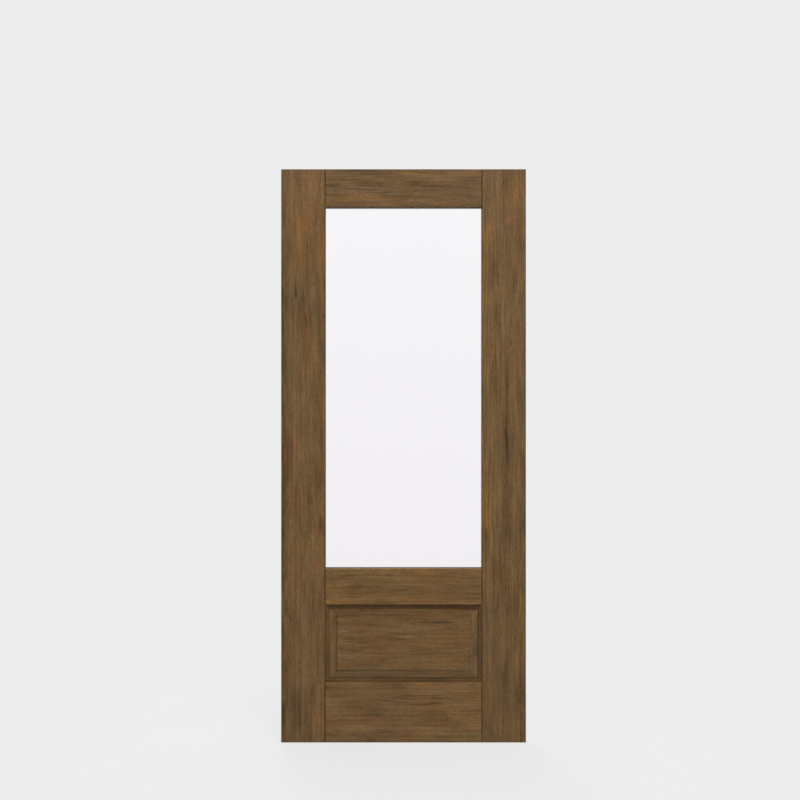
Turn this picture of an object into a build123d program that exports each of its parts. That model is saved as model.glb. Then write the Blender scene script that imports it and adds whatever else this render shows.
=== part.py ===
"""Exterior door leaf: a stained timber frame holding a tall double-glazed light above one raised panel.

Millimetres. X runs from the hinge edge to the lock edge, Y from the outside face to the inside face
and Z from the bottom edge to the top edge. The origin is on the hinge edge, at its bottom, in the
middle of the thickness. Seen from outside, the hinge edge is on the left.
"""
import os
from math import sqrt

from build123d import *

# Leaf
leaf_width = 911.0
leaf_height = 2134.0
leaf_thickness = 44.5
edge_round = 1.5  # rounded arris round both faces

# Frame members
stile_width = 163.5
top_rail_height = 140.5
middle_rail_height = 133.5
panel_opening_height = 289.5
bottom_rail_height = 224.0
joint_vee = 1.2  # depth of the vee where a rail meets a stile

# Mortise and tenon joints
tenon_thickness = 14.0
tenon_length = 100.0
tenon_shoulder = 25.0  # rail left above and below each tenon
glue_gap = 0.15
mortise_relief = 2.0  # space past the end of a tenon

# Glazing
pane_thickness = 4.0
pane_gap = 12.0
tape_thickness = 2.0
tape_sight = 0.5  # tape that shows past the edge of the opening
rebate_width = 14.0
unit_clearance = 3.0  # space round the glass in its rebate
spacer_seal = 3.5  # seal between the spacer and the edge of the glass
spacer_setback = 1.0  # spacer kept back from the edge of the opening
spacer_wall = 0.8
sight_chamfer = 0.8  # eased edge round the light, outside

# Raised panel
groove_depth = 11.0
groove_fit = 0.15
panel_float = 2.0  # space past the edge of the panel in its groove
field_setback = 4.0  # field below the face of the leaf
field_step = 2.5
bevel_drop = 6.2
bevel_width = 24.5
bevel_quirk = 5.0  # flat between the bevel and the step
field_round = 0.8
opening_chamfer = 0.6

# Planted mouldings and glazing beads
mould_width = 15.5
mould_setback = 3.0  # moulding below the face of the leaf
mould_cap = 3.5
mould_quirk = 1.2
mould_toe = 1.5
mould_ledge = 1.0

# Derived sizes
opening_width = leaf_width - 2 * stile_width
middle_rail_bottom = bottom_rail_height + panel_opening_height
middle_rail_top = middle_rail_bottom + middle_rail_height
top_rail_bottom = leaf_height - top_rail_height
glass_opening_height = top_rail_bottom - middle_rail_top
unit_thickness = 2 * pane_thickness + pane_gap
lip_thickness = (leaf_thickness - unit_thickness) / 2 - tape_thickness
unit_reach = rebate_width - unit_clearance
panel_depth = field_setback + field_step + bevel_drop
tongue_thickness = leaf_thickness - 2 * panel_depth
tongue_reach = groove_depth - panel_float
mould_height = panel_depth - mould_setback
field_inset = mould_width + bevel_width + bevel_quirk

middle_x = leaf_width / 2
half_leaf = leaf_thickness / 2
glass_middle_z = (middle_rail_top + top_rail_bottom) / 2
panel_middle_z = bottom_rail_height + panel_opening_height / 2
leaf_plane = Plane((middle_x, 0, leaf_height / 2), x_dir=(1, 0, 0), z_dir=(0, -1, 0))
glass_plane = Plane((middle_x, 0, glass_middle_z), x_dir=(1, 0, 0), z_dir=(0, -1, 0))
panel_plane = Plane((middle_x, 0, panel_middle_z), x_dir=(1, 0, 0), z_dir=(0, -1, 0))

rebate_span = (opening_width + 2 * rebate_width, glass_opening_height + 2 * rebate_width)
panel_span = (opening_width, panel_opening_height)
rails = {
    "bottom_rail": (0, bottom_rail_height),
    "middle_rail": (middle_rail_bottom, middle_rail_height),
    "top_rail": (top_rail_bottom, top_rail_height),
}

os.makedirs("parts", exist_ok=True)


def save(piece, name):
    """Label a finished piece and write its file."""
    piece.part.label = name
    export_step(piece.part, f"parts/{name}.step")


# Rounded block that every outer member is cut from
with BuildPart() as leaf_block:
    with BuildSketch(leaf_plane):
        Rectangle(leaf_width, leaf_height)
    extrude(amount=half_leaf, both=True)
    fillet(leaf_block.faces().filter_by(Axis.Y).edges(), edge_round)

# Space for the glass: rebate from the inside, opening, and eased edge on the outside
with BuildPart() as glass_seat:
    with BuildSketch(glass_plane.offset(-half_leaf)):
        Rectangle(*rebate_span)
    extrude(amount=leaf_thickness - lip_thickness)
    with BuildSketch(glass_plane):
        Rectangle(opening_width, glass_opening_height)
    extrude(amount=half_leaf)
    with BuildSketch(glass_plane.offset(half_leaf - sight_chamfer)):
        Rectangle(opening_width, glass_opening_height)
    with BuildSketch(glass_plane.offset(half_leaf)):
        Rectangle(opening_width + 2 * sight_chamfer, glass_opening_height + 2 * sight_chamfer)
    loft()

# Space for the panel: groove, opening and eased edges on both faces
with BuildPart() as panel_seat:
    with BuildSketch(panel_plane):
        Rectangle(opening_width + 2 * groove_depth, panel_opening_height + 2 * groove_depth)
    extrude(amount=tongue_thickness / 2 + groove_fit, both=True)
    with BuildSketch(panel_plane):
        Rectangle(opening_width, panel_opening_height)
    extrude(amount=half_leaf, both=True)
    with BuildSketch(panel_plane.offset(half_leaf - opening_chamfer)):
        Rectangle(opening_width, panel_opening_height)
    with BuildSketch(panel_plane.offset(half_leaf)):
        Rectangle(opening_width + 2 * opening_chamfer, panel_opening_height + 2 * opening_chamfer)
    loft()
    mirror(about=Plane.XZ)

# Vees down both faces at the shoulder of every rail
with BuildPart() as joint_lines:
    for rail_bottom, rail_height in rails.values():
        with BuildSketch(Plane.XY.offset(rail_bottom)):
            with Locations((middle_x, 0)):
                with GridLocations(opening_width, leaf_thickness, 2, 2):
                    Rectangle(joint_vee * sqrt(2), joint_vee * sqrt(2), rotation=45)
        extrude(amount=rail_height)

# Mortises, a glue gap larger than their tenons
with BuildPart() as mortises:
    for rail_bottom, rail_height in rails.values():
        mortise_height = rail_height - 2 * tenon_shoulder + 2 * glue_gap
        mortise_reach = tenon_length + mortise_relief
        with BuildSketch(Plane.XZ):
            with Locations((middle_x, rail_bottom + rail_height / 2)):
                Rectangle(opening_width + 2 * mortise_reach, mortise_height)
        extrude(amount=tenon_thickness / 2 + glue_gap, both=True)

with BuildPart() as hinge_stile:
    add(leaf_block.part)
    with BuildSketch(Plane.XZ):
        Rectangle(stile_width, leaf_height, align=(Align.MIN, Align.MIN))
    extrude(amount=half_leaf, both=True, mode=Mode.INTERSECT)
    for space in (glass_seat, panel_seat, joint_lines, mortises):
        add(space.part, mode=Mode.SUBTRACT)
save(hinge_stile, "hinge_stile")

with BuildPart() as lock_stile:
    mirror(hinge_stile.part, about=Plane.YZ.offset(middle_x))
save(lock_stile, "lock_stile")

for rail_name, (rail_bottom, rail_height) in rails.items():
    with BuildPart() as rail:
        add(leaf_block.part)
        with BuildSketch(Plane.XZ):
            with Locations((middle_x, rail_bottom + rail_height / 2)):
                Rectangle(opening_width, rail_height)
        extrude(amount=half_leaf, both=True, mode=Mode.INTERSECT)
        with BuildSketch(Plane.XZ):
            with Locations((middle_x, rail_bottom + rail_height / 2)):
                Rectangle(opening_width + 2 * tenon_length, rail_height - 2 * tenon_shoulder)
        extrude(amount=tenon_thickness / 2, both=True)
        for space in (glass_seat, panel_seat, joint_lines):
            add(space.part, mode=Mode.SUBTRACT)
    save(rail, rail_name)

# Panel: tongue, bevel, step and field, the same on both faces
with BuildPart() as raised_panel:
    with BuildSketch(panel_plane):
        Rectangle(opening_width + 2 * tongue_reach, panel_opening_height + 2 * tongue_reach)
    extrude(amount=tongue_thickness / 2)
    with BuildSketch(panel_plane.offset(tongue_thickness / 2)):
        Rectangle(opening_width - 2 * mould_width, panel_opening_height - 2 * mould_width)
    with BuildSketch(panel_plane.offset(tongue_thickness / 2 + bevel_drop)):
        bevel_inset = mould_width + bevel_width
        Rectangle(opening_width - 2 * bevel_inset, panel_opening_height - 2 * bevel_inset)
    loft()
    with BuildSketch(panel_plane.offset(half_leaf - field_setback - field_step)):
        Rectangle(opening_width - 2 * field_inset, panel_opening_height - 2 * field_inset)
    extrude(amount=field_step)
    fillet(raised_panel.faces().filter_by(Axis.Y).sort_by(Axis.Y)[0].edges(), field_round)
    mirror(about=Plane.XZ)
save(raised_panel, "raised_panel")


def mitred_strip(name, middle, span, side, outward, seat, width, height):
    """One length of ovolo moulding, mitred at both ends, along one side of an opening."""
    span_width, span_height = span
    inward, reach, length = {
        "top": (Vector(0, 0, -1), span_height / 2, span_width),
        "bottom": (Vector(0, 0, 1), span_height / 2, span_width),
        "hinge": (Vector(1, 0, 0), span_width / 2, span_height),
        "lock": (Vector(-1, 0, 0), span_width / 2, span_height),
    }[side]
    edge = middle - inward * reach + outward * seat
    along = inward.cross(outward)
    with BuildPart() as strip:
        with BuildSketch(Plane(edge, x_dir=inward, z_dir=along)):
            with BuildLine():
                Polyline(
                    (mould_cap, height - mould_quirk),
                    (mould_cap, height),
                    (0, height),
                    (0, 0),
                    (width, 0),
                    (width, mould_toe),
                    (width - mould_ledge, mould_toe),
                )
                TangentArc(
                    (width - mould_ledge, mould_toe),
                    (mould_cap, height - mould_quirk),
                    tangent=(0, 1),
                )
            make_face()
        extrude(amount=length / 2, both=True)
        with BuildSketch(Plane(edge, x_dir=along, z_dir=outward)):
            Trapezoid(length, width, 45, align=(Align.CENTER, Align.MIN))
        extrude(amount=height, mode=Mode.INTERSECT)
    save(strip, name)


outside = Vector(0, -1, 0)
inside = Vector(0, 1, 0)
bead_seat = half_leaf - lip_thickness
for side in ("top", "bottom", "hinge", "lock"):
    # Mouldings are planted on the panel; beads in the rebate, against the glass, flush with the inside face
    for place, outward in (("outer", outside), ("inner", inside)):
        mitred_strip(
            f"{place}_mould_{side}",
            panel_plane.origin,
            panel_span,
            side,
            outward,
            tongue_thickness / 2,
            mould_width,
            mould_height,
        )
    mitred_strip(
        f"bead_{side}",
        glass_plane.origin,
        rebate_span,
        side,
        inside,
        bead_seat,
        rebate_width,
        lip_thickness,
    )

# Double-glazed unit
unit_width = opening_width + 2 * unit_reach
unit_height = glass_opening_height + 2 * unit_reach

with BuildPart() as outer_pane:
    with BuildSketch(glass_plane.offset(pane_gap / 2)):
        Rectangle(unit_width, unit_height)
    extrude(amount=pane_thickness)
save(outer_pane, "outer_pane")

with BuildPart() as inner_pane:
    mirror(outer_pane.part, about=Plane.XZ)
save(inner_pane, "inner_pane")

# Spacer: a folded channel between the panes, open towards the edge of the glass
with BuildPart() as spacer_bar:
    spacer_width = unit_width - 2 * spacer_seal
    spacer_height = unit_height - 2 * spacer_seal
    clear_width = opening_width + 2 * spacer_setback
    clear_height = glass_opening_height + 2 * spacer_setback
    with BuildSketch(glass_plane):
        Rectangle(spacer_width, spacer_height)
        Rectangle(clear_width, clear_height, mode=Mode.SUBTRACT)
    extrude(amount=pane_gap / 2, both=True)
    with BuildSketch(glass_plane):
        Rectangle(spacer_width, spacer_height)
        Rectangle(clear_width + 2 * spacer_wall, clear_height + 2 * spacer_wall, mode=Mode.SUBTRACT)
    extrude(amount=pane_gap / 2 - spacer_wall, both=True, mode=Mode.SUBTRACT)
save(spacer_bar, "spacer_bar")

with BuildPart() as outer_tape:
    with BuildSketch(glass_plane.offset(unit_thickness / 2)):
        Rectangle(unit_width, unit_height)
        Rectangle(opening_width - 2 * tape_sight, glass_opening_height - 2 * tape_sight, mode=Mode.SUBTRACT)
    extrude(amount=tape_thickness)
save(outer_tape, "outer_tape")

with BuildPart() as inner_tape:
    mirror(outer_tape.part, about=Plane.XZ)
save(inner_tape, "inner_tape")
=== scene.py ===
"""Dresses the exterior door leaf: stained wood, clear glass, studio light and the camera.

Metres, in the leaf's own frame: X from the hinge edge to the lock edge, Y from outside to inside, Z up.
"""
from math import radians
from typing import NamedTuple

import bpy
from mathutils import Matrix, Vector


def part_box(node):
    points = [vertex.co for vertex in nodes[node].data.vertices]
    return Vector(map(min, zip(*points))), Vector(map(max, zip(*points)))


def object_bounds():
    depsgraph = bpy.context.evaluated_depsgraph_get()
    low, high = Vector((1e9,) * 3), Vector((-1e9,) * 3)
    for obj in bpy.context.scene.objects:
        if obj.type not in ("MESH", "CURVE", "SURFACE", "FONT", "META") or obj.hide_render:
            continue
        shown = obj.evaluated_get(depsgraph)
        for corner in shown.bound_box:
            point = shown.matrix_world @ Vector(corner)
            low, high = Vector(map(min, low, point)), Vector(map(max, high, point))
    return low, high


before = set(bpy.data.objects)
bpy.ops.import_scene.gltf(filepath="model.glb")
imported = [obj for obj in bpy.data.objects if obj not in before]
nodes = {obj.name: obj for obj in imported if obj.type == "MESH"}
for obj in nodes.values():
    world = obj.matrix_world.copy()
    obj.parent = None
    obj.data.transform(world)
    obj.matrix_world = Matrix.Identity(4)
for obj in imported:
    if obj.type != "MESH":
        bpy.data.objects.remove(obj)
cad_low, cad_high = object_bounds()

MM = 0.001

# Places read from the frame
leaf_width = cad_high.x - cad_low.x
leaf_height = cad_high.z - cad_low.z
leaf_middle = Vector((leaf_width / 2, 0, leaf_height / 2))
hinge_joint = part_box("hinge_stile")[1].x
lock_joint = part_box("lock_stile")[0].x
panel_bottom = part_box("bottom_rail")[1].z
panel_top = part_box("middle_rail")[0].z
glass_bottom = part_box("middle_rail")[1].z
glass_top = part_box("top_rail")[0].z
cavity_middle = (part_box("outer_pane")[1].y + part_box("inner_pane")[0].y) / 2

# Widths and places of the stained joint lines, of the painted shade along the outer edges and in the
# panel's step, and of the mouldings' change
joint_line = 2.6 * MM
edge_shade_line = 2.6 * MM
step_shade_line = 5.0 * MM
step_inset = 42.5 * MM
lower_step_drop = 2.0 * MM
mould_fade = 8.5 * MM
bevel_tilt = 0.1  # lean of a surface normal that tells a bevel from the field

# How far the grain bends to the side, how far the marks drift, and how deep the open grain is
grain_bend = 20 * MM
drift_across = 20 * MM
drift_along = 60 * MM
grain_depth = 0.4 * MM

# Seeds that give the pieces other than boards their own grain
panel_seed = 5
bevel_seed = 6
mould_seed = 8
bead_seed = 9

# Vent holes in the spacer bar
hole_pitch = 5 * MM
hole_radius = 0.75 * MM
hole_edge = 0.15 * MM

# Floor: by the leaf, a share of its brightness comes from the lamps, so that it takes a shadow
floor_size = 30.0
shadow_share = 0.2
shadow_near = 0.4
shadow_far = 2.4

# Card behind the glass, and lamps
card_size = 2.8
card_gap = 0.6
key_place = (1.6, -6.2, 6.9)
key_size = 6.0
key_power = 520.0
back_place = (-1.2, 6.0, 4.0)
back_size = 3.0
back_power = 220.0

# Framing: the photograph is square, and the leaf stands a little right of and below its middle
frame_pixels = 800
leaf_top_pixel = 169.2
leaf_bottom_pixel = 742.6
leaf_middle_pixel = 403.55
metres_per_pixel = leaf_height / (leaf_bottom_pixel - leaf_top_pixel)
camera_distance = 3.6


def srgb(red, green, blue):
    """A colour given as it looks on a screen, 0 to 255, as the linear values that nodes take."""
    def linear(level):
        level = level / 255
        return level / 12.92 if level <= 0.04045 else ((level + 0.055) / 1.055) ** 2.4
    return (linear(red), linear(green), linear(blue), 1.0)


# Colours of the studio
background = srgb(237, 237, 237)
floor_dark = srgb(219, 219, 219)
floor_light = srgb(223, 223, 223)
card_bottom = (0.866, 0.840, 0.871, 1.0)
card_top = (0.977, 0.960, 0.982, 1.0)
fill_below = (0.35, 0.35, 0.35, 1.0)
fill_above = (0.65, 0.65, 0.65, 1.0)

# Colours of the metal and the tape
bronze_dark = srgb(84, 66, 46)
bronze_light = srgb(104, 83, 60)
hole_colour = srgb(30, 25, 20)
tape_dark = srgb(66, 50, 34)
tape_light = srgb(92, 71, 48)

# Wood: its plain tones from dark to light, and the tints that stain them and that paint shade and light on
# them
wood_tones = [
    (0.0, srgb(58, 43, 28)),
    (0.3, srgb(90, 68, 43)),
    (0.5, srgb(108, 83, 54)),
    (0.7, srgb(124, 97, 65)),
    (1.0, srgb(148, 118, 82)),
]
tints = {
    "dark": (0.40, 0.41, 0.44, 1.0),
    "line": (0.40, 0.39, 0.40, 1.0),
    "grey": (0.66, 0.70, 0.76, 1.0),
    "olive": (0.88, 0.96, 0.84, 1.0),
    "red": (0.98, 0.84, 0.76, 1.0),
    "orange": (1.28, 1.08, 0.72, 1.0),
    "light": (1.36, 1.34, 1.30, 1.0),
}
warm_tint = (1.115, 0.98, 0.79, 1.0)
cool_tint = (0.87, 0.975, 0.935, 1.0)
pore_tint = (0.68, 0.66, 0.64, 1.0)
joint_tint = (0.30, 0.26, 0.24, 1.0)
# Painted shade along the outer edges of the leaf's faces
edge_shade_tint = (0.42, 0.40, 0.38, 1.0)
# Painted highlight on what faces up above the panel
sill_highlight_tint = (1.32, 1.38, 1.46, 1.0)
panel_tint = (1.045, 1.005, 0.93, 1.0)
# Painted shade in the panel's step
step_shade_tint = (0.60, 0.58, 0.55, 1.0)
side_bevel_tint = (1.06, 1.10, 1.20, 1.0)
# Painted shade on the panel's bevel that faces up, and painted light on its bevel that faces down
upper_bevel_shade_tint = (0.83, 0.77, 0.68, 1.0)
lower_bevel_light_tint = (0.95, 1.04, 1.18, 1.0)
bead_tint = (0.90, 0.90, 0.90, 1.0)


class Mark(NamedTuple):
    """A streak or patch in a board: middle and half size across the face, in millimetres."""
    tone: str
    x: float
    z: float
    half_x: float
    half_z: float
    strength: float = 1.0


# Streaks and patches of each board
hinge_stile_marks = [
    Mark("dark", 0, 1000, 32, 1600, 0.8),
    Mark("dark", 130, 1949, 3, 40),
    Mark("dark", 115, 1766, 4, 42),
    Mark("dark", 52, 1701, 5, 52),
    Mark("dark", 150, 1133, 11, 42, 0.8),
    Mark("dark", 150, 815, 10, 38, 0.8),
    Mark("dark", 57, 908, 7, 66, 0.7),
    Mark("grey", 107, 908, 10, 34),
    Mark("grey", 64, 122, 24, 84, 1.3),
    Mark("dark", 9, 110, 16, 120, 1.0),
    Mark("dark", 119, 183, 8, 50, 0.8),
    Mark("dark", 7, 620, 13, 60),
    Mark("dark", 7, 1396, 12, 56),
    Mark("dark", 8, 780, 12, 64),
    Mark("orange", 85, 1893, 80, 130, 0.42),
    Mark("orange", 146, 1822, 15, 42, 0.8),
    Mark("olive", 65, 1286, 50, 110, 0.3),
    Mark("light", 66, 1275, 46, 60, 0.4),
    Mark("light", 96, 740, 40, 60, 0.8),
    Mark("orange", 96, 740, 40, 60, 0.4),
    Mark("dark", 80, 1600, 22, 110, 0.25),
    Mark("line", 80, 1590, 32, 150, 0.6),
    Mark("line", 70, 110, 46, 110, 0.3),
    Mark("light", 22, 350, 24, 130, 0.6),
    Mark("light", 120, 2050, 50, 90, 0.4),
    Mark("dark", 152, 1428, 14, 80, 0.5),
    Mark("dark", 8, 1759, 13, 60, 1.0),
    Mark("light", 104, 985, 18, 60, 0.7),
    Mark("grey", 80, 0, 130, 46, 0.6),
]
lock_stile_marks = [
    Mark("light", 776, 1050, 12, 1000, 0.18),
    Mark("dark", 842, 950, 17, 900, 0.22),
    Mark("light", 871, 1100, 12, 1000, 0.18),
    Mark("dark", 911, 1000, 28, 1600, 0.3),
    Mark("line", 834, 2080, 15, 70),
    Mark("light", 818, 2043, 3, 74, 0.7),
    Mark("orange", 867, 1973, 4, 90),
    Mark("orange", 764, 1902, 26, 58, 0.8),
    Mark("red", 757, 1824, 14, 36),
    Mark("olive", 831, 1857, 36, 40),
    Mark("dark", 900, 1846, 11, 30, 0.8),
    Mark("orange", 880, 1794, 18, 36, 0.6),
    Mark("dark", 854, 1498, 6, 24),
    Mark("dark", 828, 1189, 6, 50, 0.6),
    Mark("dark", 837, 1115, 8, 60, 0.35),
    Mark("dark", 845, 1037, 8, 60, 0.6),
    Mark("line", 838, 1110, 14, 140, 0.75),
    Mark("grey", 838, 1110, 12, 130, 0.7),
    Mark("grey", 842, 1318, 14, 70, 0.7),
    Mark("dark", 896, 1065, 14, 50, 0.7),
    Mark("orange", 772, 839, 14, 64, 0.8),
    Mark("dark", 762, 769, 11, 26, 0.7),
    Mark("grey", 824, 791, 30, 76, 0.4),
    Mark("grey", 790, 648, 11, 58, 0.8),
    Mark("dark", 892, 592, 9, 38, 0.9),
    Mark("dark", 835, 261, 10, 54, 0.7),
    Mark("dark", 880, 164, 6, 62, 0.7),
    Mark("light", 768, 890, 22, 120, 1.2),
    Mark("orange", 768, 900, 22, 130, 0.5),
    Mark("light", 775, 1440, 34, 110, 0.85),
    Mark("orange", 775, 1400, 34, 160, 0.5),
    Mark("dark", 772, 1735, 40, 60, 0.45),
    Mark("dark", 780, 390, 44, 210, 0.35),
    Mark("light", 767, 1040, 15, 60, 0.8),
    Mark("dark", 885, 892, 18, 70, 0.5),
    Mark("dark", 829, 1774, 22, 46, 0.45),
    Mark("light", 890, 2040, 24, 80, 0.8),
    Mark("orange", 890, 2040, 24, 80, 0.6),
    Mark("grey", 850, 0, 80, 46, 0.6),
]
top_rail_marks = [
    Mark("line", 192, 2072, 50, 7, 0.55),
    Mark("dark", 199, 2053, 6, 4, 0.7),
    Mark("line", 323, 2067, 72, 13, 0.9),
    Mark("line", 316, 2116, 46, 6, 0.4),
    Mark("light", 249, 2085, 42, 4, 0.8),
    Mark("grey", 384, 2046, 18, 12),
    Mark("line", 507, 2080, 44, 14, 0.6),
    Mark("line", 575, 2068, 80, 10, 0.9),
    Mark("light", 540, 2065, 80, 3, 0.8),
    Mark("line", 700, 2066, 50, 7, 0.8),
    Mark("light", 509, 2015, 60, 6, 0.7),
    Mark("grey", 692, 2094, 44, 9),
    Mark("grey", 699, 2030, 46, 5),
    Mark("orange", 219, 2011, 58, 6),
    Mark("orange", 591, 2010, 34, 7),
    Mark("orange", 710, 2114, 28, 8),
    Mark("light", 470, 2124, 120, 14, 0.8),
    Mark("orange", 470, 2124, 140, 14, 0.5),
    Mark("light", 290, 2027, 120, 12, 0.6),
    Mark("orange", 370, 2027, 210, 12, 0.8),
]
middle_rail_marks = [
    Mark("light", 194, 522, 54, 11, 1.4),
    Mark("orange", 194, 522, 54, 11, 1.6),
    Mark("line", 349, 574, 34, 8, 0.9),
    Mark("dark", 193, 612, 34, 9, 0.4),
    Mark("dark", 396, 626, 20, 6, 0.7),
    Mark("grey", 284, 584, 24, 10, 0.7),
    Mark("dark", 422, 560, 12, 5, 0.8),
    Mark("dark", 550, 568, 14, 5, 0.8),
    Mark("orange", 554, 592, 18, 7, 0.7),
    Mark("orange", 679, 609, 36, 9, 0.8),
    Mark("orange", 342, 642, 190, 7, 0.5),
    Mark("dark", 480, 570, 90, 34, 0.4),
    Mark("light", 255, 530, 60, 20, 0.6),
]
panel_marks = [
    Mark("line", 540, 444, 66, 7, 0.6),
    Mark("line", 592, 449, 54, 9, 0.5),
    Mark("line", 446, 403, 72, 9, 0.65),
    Mark("light", 453, 392, 46, 4, 0.9),
    Mark("line", 440, 385, 76, 6, 0.55),
    Mark("line", 561, 411, 40, 7, 0.7),
    Mark("grey", 271, 387, 38, 8),
    Mark("line", 280, 343, 70, 6, 0.75),
    Mark("line", 334, 332, 54, 6, 0.75),
    Mark("light", 348, 338, 50, 3, 0.8),
    Mark("red", 606, 369, 90, 28, 0.4),
    Mark("grey", 460, 402, 190, 16, 0.7),
    Mark("light", 240, 452, 60, 9, 0.6),
    Mark("light", 672, 442, 40, 14, 0.8),
    Mark("orange", 640, 305, 110, 24, 0.5),
]
bevel_marks = [
    Mark("grey", 724, 345, 9, 50),
]
bottom_rail_marks = [
    Mark("dark", 442, 209, 32, 8),
    Mark("light", 455, 223, 12, 4),
    Mark("dark", 707, 214, 22, 7),
    Mark("line", 518, 170, 104, 8),
    Mark("line", 535, 141, 74, 8, 0.75),
    Mark("orange", 545, 216, 34, 11),
    Mark("dark", 360, 103, 17, 7, 0.6),
    Mark("line", 393, 43, 56, 7),
    Mark("light", 690, 194, 50, 8, 0.6),
    Mark("grey", 613, 91, 18, 9),
    Mark("grey", 206, 41, 22, 8),
    Mark("light", 722, 125, 50, 60, 1.0),
    Mark("light", 662, 106, 50, 22, 0.9),
    Mark("dark", 430, 160, 80, 24, 0.5),
    Mark("grey", 360, 5, 280, 36, 0.6),
]


class Board(NamedTuple):
    """A board of the frame: which way its grain runs, how crisp its lines are, its marks and its stain."""
    node: str
    grain: str
    seed: int
    crispness: float
    marks: list
    tint: tuple


boards = [
    Board("hinge_stile", "Z", 1, 1.0, hinge_stile_marks, (1.03, 0.997, 0.955, 1.0)),
    Board("lock_stile", "Z", 2, 1.5, lock_stile_marks, (0.99, 0.97, 0.93, 1.0)),
    Board("top_rail", "X", 3, 2.0, top_rail_marks, (0.945, 0.93, 0.925, 1.0)),
    Board("middle_rail", "X", 4, 0.8, middle_rail_marks, (1.115, 1.08, 0.975, 1.0)),
    Board("bottom_rail", "X", 7, 0.5, bottom_rail_marks, (1.08, 1.04, 0.98, 1.0)),
]
panel_crispness = 0.6


class Mould(NamedTuple):
    """The mouldings along one side: stain and painted shade at the outer edge, painted light and shade at
    the toe, and how far in it changes.
    """
    side: str
    grain: str
    outer_stain_and_shade: tuple
    toe_light_and_shade: tuple
    change: float


# The top side's outer edge is painted dark as the shadow under the middle rail, and its toe is lightened as
# painted light; on the other sides stain and painted shade darken the mouldings, the lock side more than
# the hinge side
moulds = [
    Mould("top", "X", (0.37, 0.325, 0.285, 1.0), (1.4, 1.3, 1.18, 1.0), 12 * MM),
    Mould("bottom", "X", (0.68, 0.61, 0.5, 1.0), (0.5, 0.48, 0.42, 1.0), 9.75 * MM),
    Mould("hinge", "Z", (0.82, 0.82, 0.8, 1.0), (0.95, 0.94, 0.92, 1.0), 9.75 * MM),
    Mould("lock", "Z", (0.64, 0.67, 0.7, 1.0), (0.72, 0.77, 0.82, 1.0), 9.75 * MM),
]


def add_node(tree, kind, inputs=None, **options):
    """Add a node, set its options, and set or link its inputs by name or number."""
    node = tree.nodes.new(kind)
    for name, value in options.items():
        setattr(node, name, value)
    for key, value in (inputs or {}).items():
        socket = node.inputs[key]
        if isinstance(value, bpy.types.NodeSocket):
            tree.links.new(value, socket)
        else:
            socket.default_value = value
    return node


def calculate(tree, operation, *terms):
    """A number worked out from numbers."""
    return add_node(tree, "ShaderNodeMath", dict(enumerate(terms)), operation=operation).outputs[0]


def vector(tree, operation, *terms):
    """A vector worked out from vectors, or the length of one."""
    node = add_node(tree, "ShaderNodeVectorMath", dict(enumerate(terms)), operation=operation)
    return node.outputs["Value" if operation == "LENGTH" else "Vector"]


def axis_value(tree, point, axis):
    """One coordinate of a point."""
    return add_node(tree, "ShaderNodeSeparateXYZ", {0: point}).outputs[axis]


def smooth(tree, value, start, end, low=0.0, high=1.0):
    """Ease from low to high as a number goes from start to end."""
    inputs = {"Value": value, "From Min": start, "From Max": end, "To Min": low, "To Max": high}
    node = add_node(tree, "ShaderNodeMapRange", inputs, interpolation_type="SMOOTHSTEP")
    return node.outputs["Result"]


def mix(tree, factor, first, second, blend="MIX"):
    """One colour over another."""
    inputs = {0: factor, 6: first, 7: second}
    return add_node(tree, "ShaderNodeMix", inputs, data_type="RGBA", blend_type=blend).outputs[2]


def stain(tree, colour, tint, amount=1.0):
    """A colour multiplied by a tint, in full or in part."""
    return mix(tree, amount, colour, tint, "MULTIPLY")


def noise(tree, point, scale, detail=2.0, roughness=0.5, output="Fac"):
    """Soft noise with its own scale along each axis, in waves per metre."""
    stretched = vector(tree, "MULTIPLY", point, scale)
    inputs = {"Vector": stretched, "Scale": 1.0, "Detail": detail, "Roughness": roughness}
    return add_node(tree, "ShaderNodeTexNoise", inputs).outputs[output]


def mix_shaders(tree, factor, first, second):
    """One shader over another."""
    return add_node(tree, "ShaderNodeMixShader", {0: factor, 1: first, 2: second}).outputs["Shader"]


def use_shader(tree, shader):
    """Make a shader the material's surface."""
    tree.links.new(shader, tree.nodes["Material Output"].inputs["Surface"])


def new_material(name):
    """A material with one surface shader, and the point on the object being shaded."""
    material = bpy.data.materials.new(name)
    material.use_nodes = True
    tree = material.node_tree
    tree.nodes.clear()
    surface = add_node(tree, "ShaderNodeBsdfPrincipled")
    add_node(tree, "ShaderNodeOutputMaterial")
    use_shader(tree, surface.outputs["BSDF"])
    point = add_node(tree, "ShaderNodeTexCoord").outputs["Object"]
    return material, tree, surface, point


def along_grain(grain, across, along):
    """The scale of a texture drawn out along the grain."""
    return (along, across, across) if grain == "X" else (across, across, along)


def bent_point(tree, point, grain, seed):
    """The point moved to a stretch of wood of its own, where the grain bends a little to the side."""
    shifted = vector(tree, "ADD", point, (seed * 3.7, seed * 1.9, seed * 5.3))
    bend = noise(tree, shifted, along_grain(grain, 8, 3), output="Color")
    bend = vector(tree, "SUBTRACT", bend, (0.5, 0.5, 0.5))
    bend = vector(tree, "MULTIPLY", bend, along_grain(grain, grain_bend, 0.0))
    return vector(tree, "ADD", shifted, bend)


def tone_colour(tree, tone):
    """The wood's plain colour for a tone from 0, dark, to 1, light."""
    ramp = add_node(tree, "ShaderNodeValToRGB", {"Fac": tone})
    stops = ramp.color_ramp.elements
    for position, _ in wood_tones[1:-1]:
        stops.new(position)
    for stop, (position, colour) in zip(stops, wood_tones):
        stop.position = position
        stop.color = colour
    return ramp.outputs["Color"]


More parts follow.
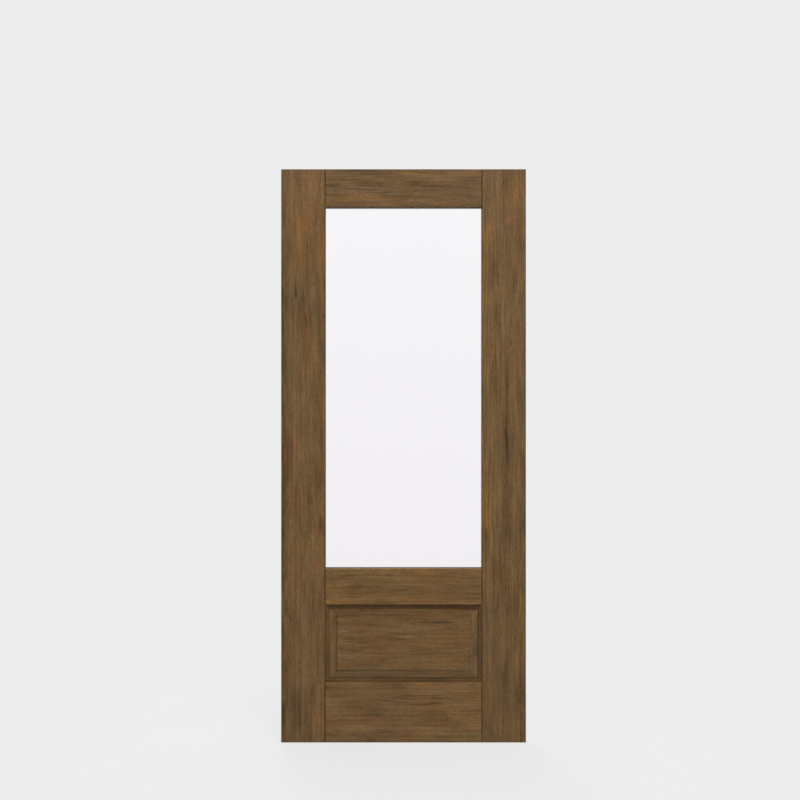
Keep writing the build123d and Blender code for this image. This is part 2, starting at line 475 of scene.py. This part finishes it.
def wood_grain(tree, point, grain, seed, crispness=1.0):
    """Colour of stained wood, the streaks in it, and the height of its open grain."""
    bent = bent_point(tree, point, grain, seed)
    broad = noise(tree, bent, along_grain(grain, 24, 6))
    streaks = noise(tree, bent, along_grain(grain, 95, 9), detail=3.0, roughness=0.6)
    flecks = noise(tree, bent, along_grain(grain, 220, 60))
    fine = noise(tree, bent, along_grain(grain, 560, 200), detail=1.0)
    lines = noise(tree, bent, along_grain(grain, 280, 4), detail=1.0)
    bands = noise(tree, bent, along_grain(grain, 120, 2.5), detail=0.0)
    patches = noise(tree, bent, along_grain(grain, 12, 2.5))
    crisp = smooth(tree, patches, 0.42, 0.62, 0.08 * crispness, 0.42 * crispness)

    tone = 0.5
    layers = [(broad, 0.5), (streaks, 0.4), (flecks, 0.36), (fine, 0.36), (lines, crisp), (bands, 0.24)]
    for layer, weight in layers:
        shade = calculate(tree, "MULTIPLY", calculate(tree, "SUBTRACT", layer, 0.5), weight)
        tone = calculate(tree, "ADD", tone, shade)
    colour = tone_colour(tree, tone)

    warm_patches = noise(tree, bent, along_grain(grain, 22, 7))
    warm_flecks = noise(tree, bent, along_grain(grain, 140, 50))
    warmth = calculate(tree, "MULTIPLY", calculate(tree, "ADD", warm_patches, warm_flecks), 0.5)
    colour = stain(tree, colour, warm_tint, smooth(tree, warmth, 0.48, 0.66))
    colour = stain(tree, colour, cool_tint, smooth(tree, warmth, 0.52, 0.34))

    pores = noise(tree, bent, along_grain(grain, 1500, 75), detail=1.0)
    open_pores = smooth(tree, pores, 0.6, 0.72)
    colour = stain(tree, colour, pore_tint, open_pores)
    height = calculate(tree, "SUBTRACT", fine, open_pores)
    return colour, streaks, height


def spot(tree, point, mark):
    """The strength of a mark in its middle, easing to 0 at its edge."""
    scale = (1 / (mark.half_x * MM), 0.0, 1 / (mark.half_z * MM))
    shift = (-mark.x / mark.half_x, 0.0, -mark.z / mark.half_z)
    distance = vector(tree, "LENGTH", vector(tree, "MULTIPLY_ADD", point, scale, shift))
    return smooth(tree, distance, 1.4, 0.2, 0.0, mark.strength)


def add_marks(tree, point, colour, marks, grain):
    """Lay a board's marks over its colour, each drawn as a bundle of threads or of thin lines."""
    drift = noise(tree, point, along_grain(grain, 60, 12), output="Color")
    drift = vector(tree, "SUBTRACT", drift, (0.5, 0.5, 0.5))
    reach = (drift_along, 0.0, drift_across) if grain == "X" else (drift_across, 0.0, drift_along)
    drifting = vector(tree, "ADD", point, vector(tree, "MULTIPLY", drift, reach))
    threads = noise(tree, drifting, along_grain(grain, 210, 11))
    bundle = smooth(tree, threads, 0.62, 0.4, 0.2, 1.0)
    hairs = noise(tree, drifting, along_grain(grain, 240, 7))
    thin = smooth(tree, hairs, 0.56, 0.42)
    for tone, tint in tints.items():
        pattern = thin if tone == "line" else bundle
        total = None
        for mark in (m for m in marks if m.tone == tone):
            cover = spot(tree, drifting, mark)
            total = cover if total is None else calculate(tree, "MAXIMUM", total, cover)
        if total is not None:
            colour = stain(tree, colour, tint, calculate(tree, "MULTIPLY", total, pattern))
    return colour


def inset(tree, point, left, right, bottom, top):
    """How far a point lies inside a rectangle of the face, from its nearest side."""
    x = axis_value(tree, point, "X")
    z = axis_value(tree, point, "Z")
    nearest = calculate(tree, "SUBTRACT", x, left)
    for distance in (
        calculate(tree, "SUBTRACT", right, x),
        calculate(tree, "SUBTRACT", z, bottom),
        calculate(tree, "SUBTRACT", top, z),
    ):
        nearest = calculate(tree, "MINIMUM", nearest, distance)
    return nearest


def panel_inset(tree, point):
    """How far a point lies inside the panel's opening."""
    return inset(tree, point, hinge_joint, lock_joint, panel_bottom, panel_top)


def distance_to(tree, point, axis, place):
    """How far a point lies from a place on an axis."""
    return calculate(tree, "ABSOLUTE", calculate(tree, "SUBTRACT", axis_value(tree, point, axis), place))


def turned_to(tree, lean):
    """1 where the surface's normal leans fully one way, easing to 0 where it turns from it."""
    return smooth(tree, lean, 0.3, 0.8)


def joint_stain(tree, point, colour):
    """Stain gathered in the lines where the rails meet the stiles and along the sides of the panel."""
    z = axis_value(tree, point, "Z")
    below = smooth(tree, z, glass_bottom, glass_bottom - joint_line)
    above = smooth(tree, z, glass_top, glass_top + joint_line)
    clear_of_glass = calculate(tree, "MAXIMUM", below, above)
    for joint in (hinge_joint, lock_joint):
        line = smooth(tree, distance_to(tree, point, "X", joint), joint_line, 0.4 * joint_line)
        colour = stain(tree, colour, joint_tint, calculate(tree, "MULTIPLY", line, clear_of_glass))
    return colour


def painted_edge_shade(tree, point, normal, colour):
    """Painted shade, a darker tint, along the outer edges of the leaf's two faces."""
    on_face = turned_to(tree, calculate(tree, "ABSOLUTE", axis_value(tree, normal, "Y")))
    distance = inset(tree, point, cad_low.x, cad_high.x, cad_low.z, cad_high.z)
    line = smooth(tree, distance, edge_shade_line, 0.4 * edge_shade_line)
    return stain(tree, colour, edge_shade_tint, calculate(tree, "MULTIPLY", line, on_face))


def painted_sill_highlight(tree, point, normal, colour):
    """Painted highlight, a paler tint, on what looks up above the panel, which is the sill of the glass and
    the leaf's top.
    """
    upward = turned_to(tree, axis_value(tree, normal, "Z"))
    above_panel = calculate(tree, "GREATER_THAN", axis_value(tree, point, "Z"), panel_top)
    return stain(tree, colour, sill_highlight_tint, calculate(tree, "MULTIPLY", upward, above_panel))


def finish_wood(tree, surface, colour, streaks, height):
    """Satin finish: dark streaks are duller, and the open grain lies a little lower."""
    dull = 0.62
    satin = 0.46
    tree.links.new(colour, surface.inputs["Base Color"])
    tree.links.new(smooth(tree, streaks, 0.3, 0.7, dull, satin), surface.inputs["Roughness"])
    surface.inputs["Specular IOR Level"].default_value = 0.1
    relief = add_node(tree, "ShaderNodeBump", {"Height": height, "Strength": 0.25, "Distance": grain_depth})
    tree.links.new(relief.outputs["Normal"], surface.inputs["Normal"])


def board_wood(board):
    """Wood of one board of the frame."""
    material, tree, surface, point = new_material(f"{board.node}_wood")
    colour, streaks, height = wood_grain(tree, point, board.grain, board.seed, board.crispness)
    colour = add_marks(tree, point, colour, board.marks, board.grain)
    colour = stain(tree, colour, board.tint)
    colour = joint_stain(tree, point, colour)
    normal = add_node(tree, "ShaderNodeNewGeometry").outputs["True Normal"]
    # Painted shade along the outer edges, and a painted highlight on what faces up above the panel
    colour = painted_edge_shade(tree, point, normal, colour)
    colour = painted_sill_highlight(tree, point, normal, colour)
    finish_wood(tree, surface, colour, streaks, height)
    return material


def painted_step_shade(tree, point, colour):
    """Painted shade in the step round the panel's field, strongest on the hinge side."""
    on_step = calculate(tree, "GREATER_THAN", panel_inset(tree, point), step_inset - step_shade_line)
    for axis, place, strength in (
        ("X", hinge_joint + step_inset, 0.9),
        ("X", lock_joint - step_inset, 0.2),
        ("Z", panel_bottom + step_inset - lower_step_drop, 0.6),
    ):
        distance = distance_to(tree, point, axis, place)
        line = smooth(tree, distance, 0.75 * step_shade_line, 0.35 * step_shade_line, 0.0, strength)
        colour = stain(tree, colour, step_shade_tint, calculate(tree, "MULTIPLY", line, on_step))
    return colour


def panel_wood():
    """Wood of the raised panel: level grain, upright on the side bevels, painted shade in the step and on
    the bevel that faces up, and painted light on the bevel that faces down.
    """
    material, tree, surface, point = new_material("panel_wood")
    colour, streaks, height = wood_grain(tree, point, "X", panel_seed, panel_crispness)
    colour = add_marks(tree, point, colour, panel_marks, "X")
    side_colour, _, _ = wood_grain(tree, point, "Z", bevel_seed)
    side_colour = add_marks(tree, point, side_colour, bevel_marks, "Z")
    side_colour = stain(tree, side_colour, side_bevel_tint)
    normal = add_node(tree, "ShaderNodeNewGeometry").outputs["True Normal"]
    sideways = calculate(tree, "ABSOLUTE", axis_value(tree, normal, "X"))
    colour = mix(tree, calculate(tree, "GREATER_THAN", sideways, bevel_tilt), colour, side_colour)
    colour = stain(tree, colour, panel_tint)
    colour = painted_step_shade(tree, point, colour)
    # Painted shade on the bevel that faces up, and painted light on the bevel that faces down
    upward = axis_value(tree, normal, "Z")
    for tilt, tint in ((bevel_tilt, upper_bevel_shade_tint), (-bevel_tilt, lower_bevel_light_tint)):
        colour = stain(tree, colour, tint, smooth(tree, upward, tilt, 2 * tilt))
    finish_wood(tree, surface, colour, streaks, height)
    return material


def mould_wood(mould):
    """Wood of the planted mouldings on one side, its stain, painted shade and painted light changing from
    the outer edge to the toe.
    """
    material, tree, surface, point = new_material(f"mould_wood_{mould.side}")
    colour, streaks, height = wood_grain(tree, point, mould.grain, mould_seed)
    half_fade = mould_fade / 2
    across = smooth(tree, panel_inset(tree, point), mould.change - half_fade, mould.change + half_fade)
    # Stain and painted shade at the outer edge; painted light at the top side's toe and painted shade at
    # the other toes
    colour = stain(tree, colour, mix(tree, across, mould.outer_stain_and_shade, mould.toe_light_and_shade))
    finish_wood(tree, surface, colour, streaks, height)
    return material


def bead_wood(side, grain):
    """Wood of the glazing bead on one side."""
    material, tree, surface, point = new_material(f"bead_wood_{side}")
    colour, streaks, height = wood_grain(tree, point, grain, bead_seed)
    colour = stain(tree, colour, bead_tint)
    finish_wood(tree, surface, colour, streaks, height)
    return material


def clear_glass():
    """Clear float glass that lets the lamps through."""
    material, tree, surface, _ = new_material("clear_glass")
    surface.inputs["Base Color"].default_value = (0.99, 0.99, 0.99, 1.0)
    surface.inputs["Roughness"].default_value = 0.0
    surface.inputs["IOR"].default_value = 1.5
    surface.inputs["Transmission Weight"].default_value = 1.0
    lamp_ray = add_node(tree, "ShaderNodeLightPath").outputs["Is Shadow Ray"]
    through = add_node(tree, "ShaderNodeBsdfTransparent")
    use_shader(tree, mix_shaders(tree, lamp_ray, surface.outputs["BSDF"], through.outputs["BSDF"]))
    return material


def spacer_metal():
    """Bronze anodised aluminium with a line of small vent holes."""
    material, tree, surface, point = new_material("spacer_metal")
    length = calculate(tree, "ADD", axis_value(tree, point, "X"), axis_value(tree, point, "Z"))
    along = calculate(tree, "WRAP", length, hole_pitch / 2, -hole_pitch / 2)
    across = calculate(tree, "SUBTRACT", axis_value(tree, point, "Y"), cavity_middle)
    place = add_node(tree, "ShaderNodeCombineXYZ", {0: along, 1: across}).outputs[0]
    from_middle = vector(tree, "LENGTH", place)
    hole = smooth(tree, from_middle, hole_radius + hole_edge, hole_radius - hole_edge)
    brushed = noise(tree, point, (900, 900, 900))
    colour = mix(tree, brushed, bronze_dark, bronze_light)
    tree.links.new(mix(tree, hole, colour, hole_colour), surface.inputs["Base Color"])
    surface.inputs["Metallic"].default_value = 0.9
    surface.inputs["Roughness"].default_value = 0.4
    return material


def tape_rubber():
    """Brown glazing tape, close to the colour of the wood."""
    material, tree, surface, point = new_material("glazing_tape")
    mottle = noise(tree, point, (700, 700, 700), detail=3.0)
    tree.links.new(mix(tree, mottle, tape_dark, tape_light), surface.inputs["Base Color"])
    surface.inputs["Roughness"].default_value = 0.8
    surface.inputs["Specular IOR Level"].default_value = 0.2
    return material


def dress(node, material):
    """Give a CAD node its material."""
    for slot in nodes[node].material_slots:
        slot.material = material


def dress_leaf():
    """Materials of every piece of the leaf."""
    for board in boards:
        dress(board.node, board_wood(board))
    dress("raised_panel", panel_wood())
    for mould in moulds:
        wood = mould_wood(mould)
        dress(f"outer_mould_{mould.side}", wood)
        dress(f"inner_mould_{mould.side}", wood)
        dress(f"bead_{mould.side}", bead_wood(mould.side, mould.grain))
    glass = clear_glass()
    tape = tape_rubber()
    for place in ("outer", "inner"):
        dress(f"{place}_pane", glass)
        dress(f"{place}_tape", tape)
    dress("spacer_bar", spacer_metal())


def stage_plane(name, size, material):
    """A flat square of the studio, facing up, that isn't part of the leaf."""
    half = size / 2
    corners = [(-half, -half, 0), (half, -half, 0), (half, half, 0), (-half, half, 0)]
    mesh = bpy.data.meshes.new(name)
    mesh.from_pydata(corners, [], [(0, 1, 2, 3)])
    mesh.materials.append(material)
    plane = bpy.data.objects.new(name, mesh)
    bpy.context.scene.collection.objects.link(plane)
    return plane


def floor():
    """Plain pale floor as bright as the background, which takes a soft shadow near the leaf."""
    material, tree, surface, point = new_material("studio_floor")
    clouds = noise(tree, point, (3, 3, 3))
    tree.links.new(mix(tree, clouds, floor_dark, floor_light), surface.inputs["Base Color"])
    surface.inputs["Roughness"].default_value = 0.9
    surface.inputs["Specular IOR Level"].default_value = 0.0
    glow = add_node(tree, "ShaderNodeEmission", {"Color": background, "Strength": 1.0})
    share = smooth(tree, vector(tree, "LENGTH", point), shadow_far, shadow_near, 0.0, shadow_share)
    use_shader(tree, mix_shaders(tree, share, glow.outputs["Emission"], surface.outputs["BSDF"]))
    ground = stage_plane("studio_floor", floor_size, material)
    ground.location = (leaf_width / 2, 0, cad_low.z)
    ground.visible_diffuse = False


def backdrop():
    """Pale card behind the leaf that shows only through the glass, whiter at its top."""
    material, tree, _, point = new_material("backdrop_card")
    height = axis_value(tree, point, "Y")  # the card's own Y is upright once the card is turned
    inputs = {"Value": height, "From Min": -card_size / 2, "From Max": card_size / 2}
    shade = add_node(tree, "ShaderNodeMapRange", inputs).outputs["Result"]
    tone = mix(tree, shade, card_bottom, card_top)
    glow = add_node(tree, "ShaderNodeEmission", {"Color": tone, "Strength": 1.0})
    use_shader(tree, glow.outputs["Emission"])
    card = stage_plane("backdrop_card", card_size, material)
    card.location = (leaf_width / 2, card_gap, leaf_height / 2)
    card.rotation_euler = (radians(90), 0, 0)
    card.visible_camera = False
    card.visible_diffuse = False
    card.visible_glossy = False
    card.visible_shadow = False


def soft_light(name, place, size, power):
    """A round soft light aimed at the middle of the leaf, which doesn't show through the glass."""
    lamp = bpy.data.lights.new(name, "AREA")
    lamp.shape = "DISK"
    lamp.size = size
    lamp.energy = power
    light = bpy.data.objects.new(name, lamp)
    light.location = place
    towards = leaf_middle - light.location
    light.rotation_euler = towards.to_track_quat("-Z", "Y").to_euler()
    light.visible_transmission = False
    bpy.context.scene.collection.objects.link(light)
    return light


def lamps():
    """Soft light from high in front and a little to the right, and some from behind."""
    soft_light("key", key_place, key_size, key_power)
    back = soft_light("back", back_place, back_size, back_power)
    back.visible_glossy = False


def surroundings():
    """Fill light, mostly from above, and the plain background that the camera and the glass see."""
    world = bpy.data.worlds.new("studio")
    world.use_nodes = True
    tree = world.node_tree
    tree.nodes.clear()
    path = add_node(tree, "ShaderNodeLightPath").outputs
    seen = calculate(tree, "MAXIMUM", path["Is Camera Ray"], path["Is Glossy Ray"])
    seen = calculate(tree, "MAXIMUM", seen, path["Is Transmission Ray"])
    direction = add_node(tree, "ShaderNodeTexCoord").outputs["Generated"]
    upward = smooth(tree, axis_value(tree, direction, "Z"), -1.0, 1.0)
    fill = mix(tree, upward, fill_below, fill_above)
    colour = mix(tree, seen, fill, background)
    sky = add_node(tree, "ShaderNodeBackground", {"Color": colour, "Strength": 1.0})
    output = add_node(tree, "ShaderNodeOutputWorld")
    tree.links.new(sky.outputs["Background"], output.inputs["Surface"])
    bpy.context.scene.world = world


def camera():
    """Straight-on view, framed as in the photograph."""
    data = bpy.data.cameras.new("camera")
    data.lens = data.sensor_width * camera_distance / (frame_pixels * metres_per_pixel)
    data.clip_end = 100.0
    eye = bpy.data.objects.new("camera", data)
    right = (leaf_middle_pixel - frame_pixels / 2) * metres_per_pixel
    down = ((leaf_top_pixel + leaf_bottom_pixel) / 2 - frame_pixels / 2) * metres_per_pixel
    eye.location = (leaf_width / 2 - right, cad_low.y - camera_distance, leaf_height / 2 + down)
    eye.rotation_euler = (radians(90), 0, 0)
    bpy.context.scene.collection.objects.link(eye)
    bpy.context.scene.camera = eye


dress_leaf()
floor()
backdrop()
lamps()
surroundings()
camera()
bpy.context.scene.view_settings.view_transform = "Standard"
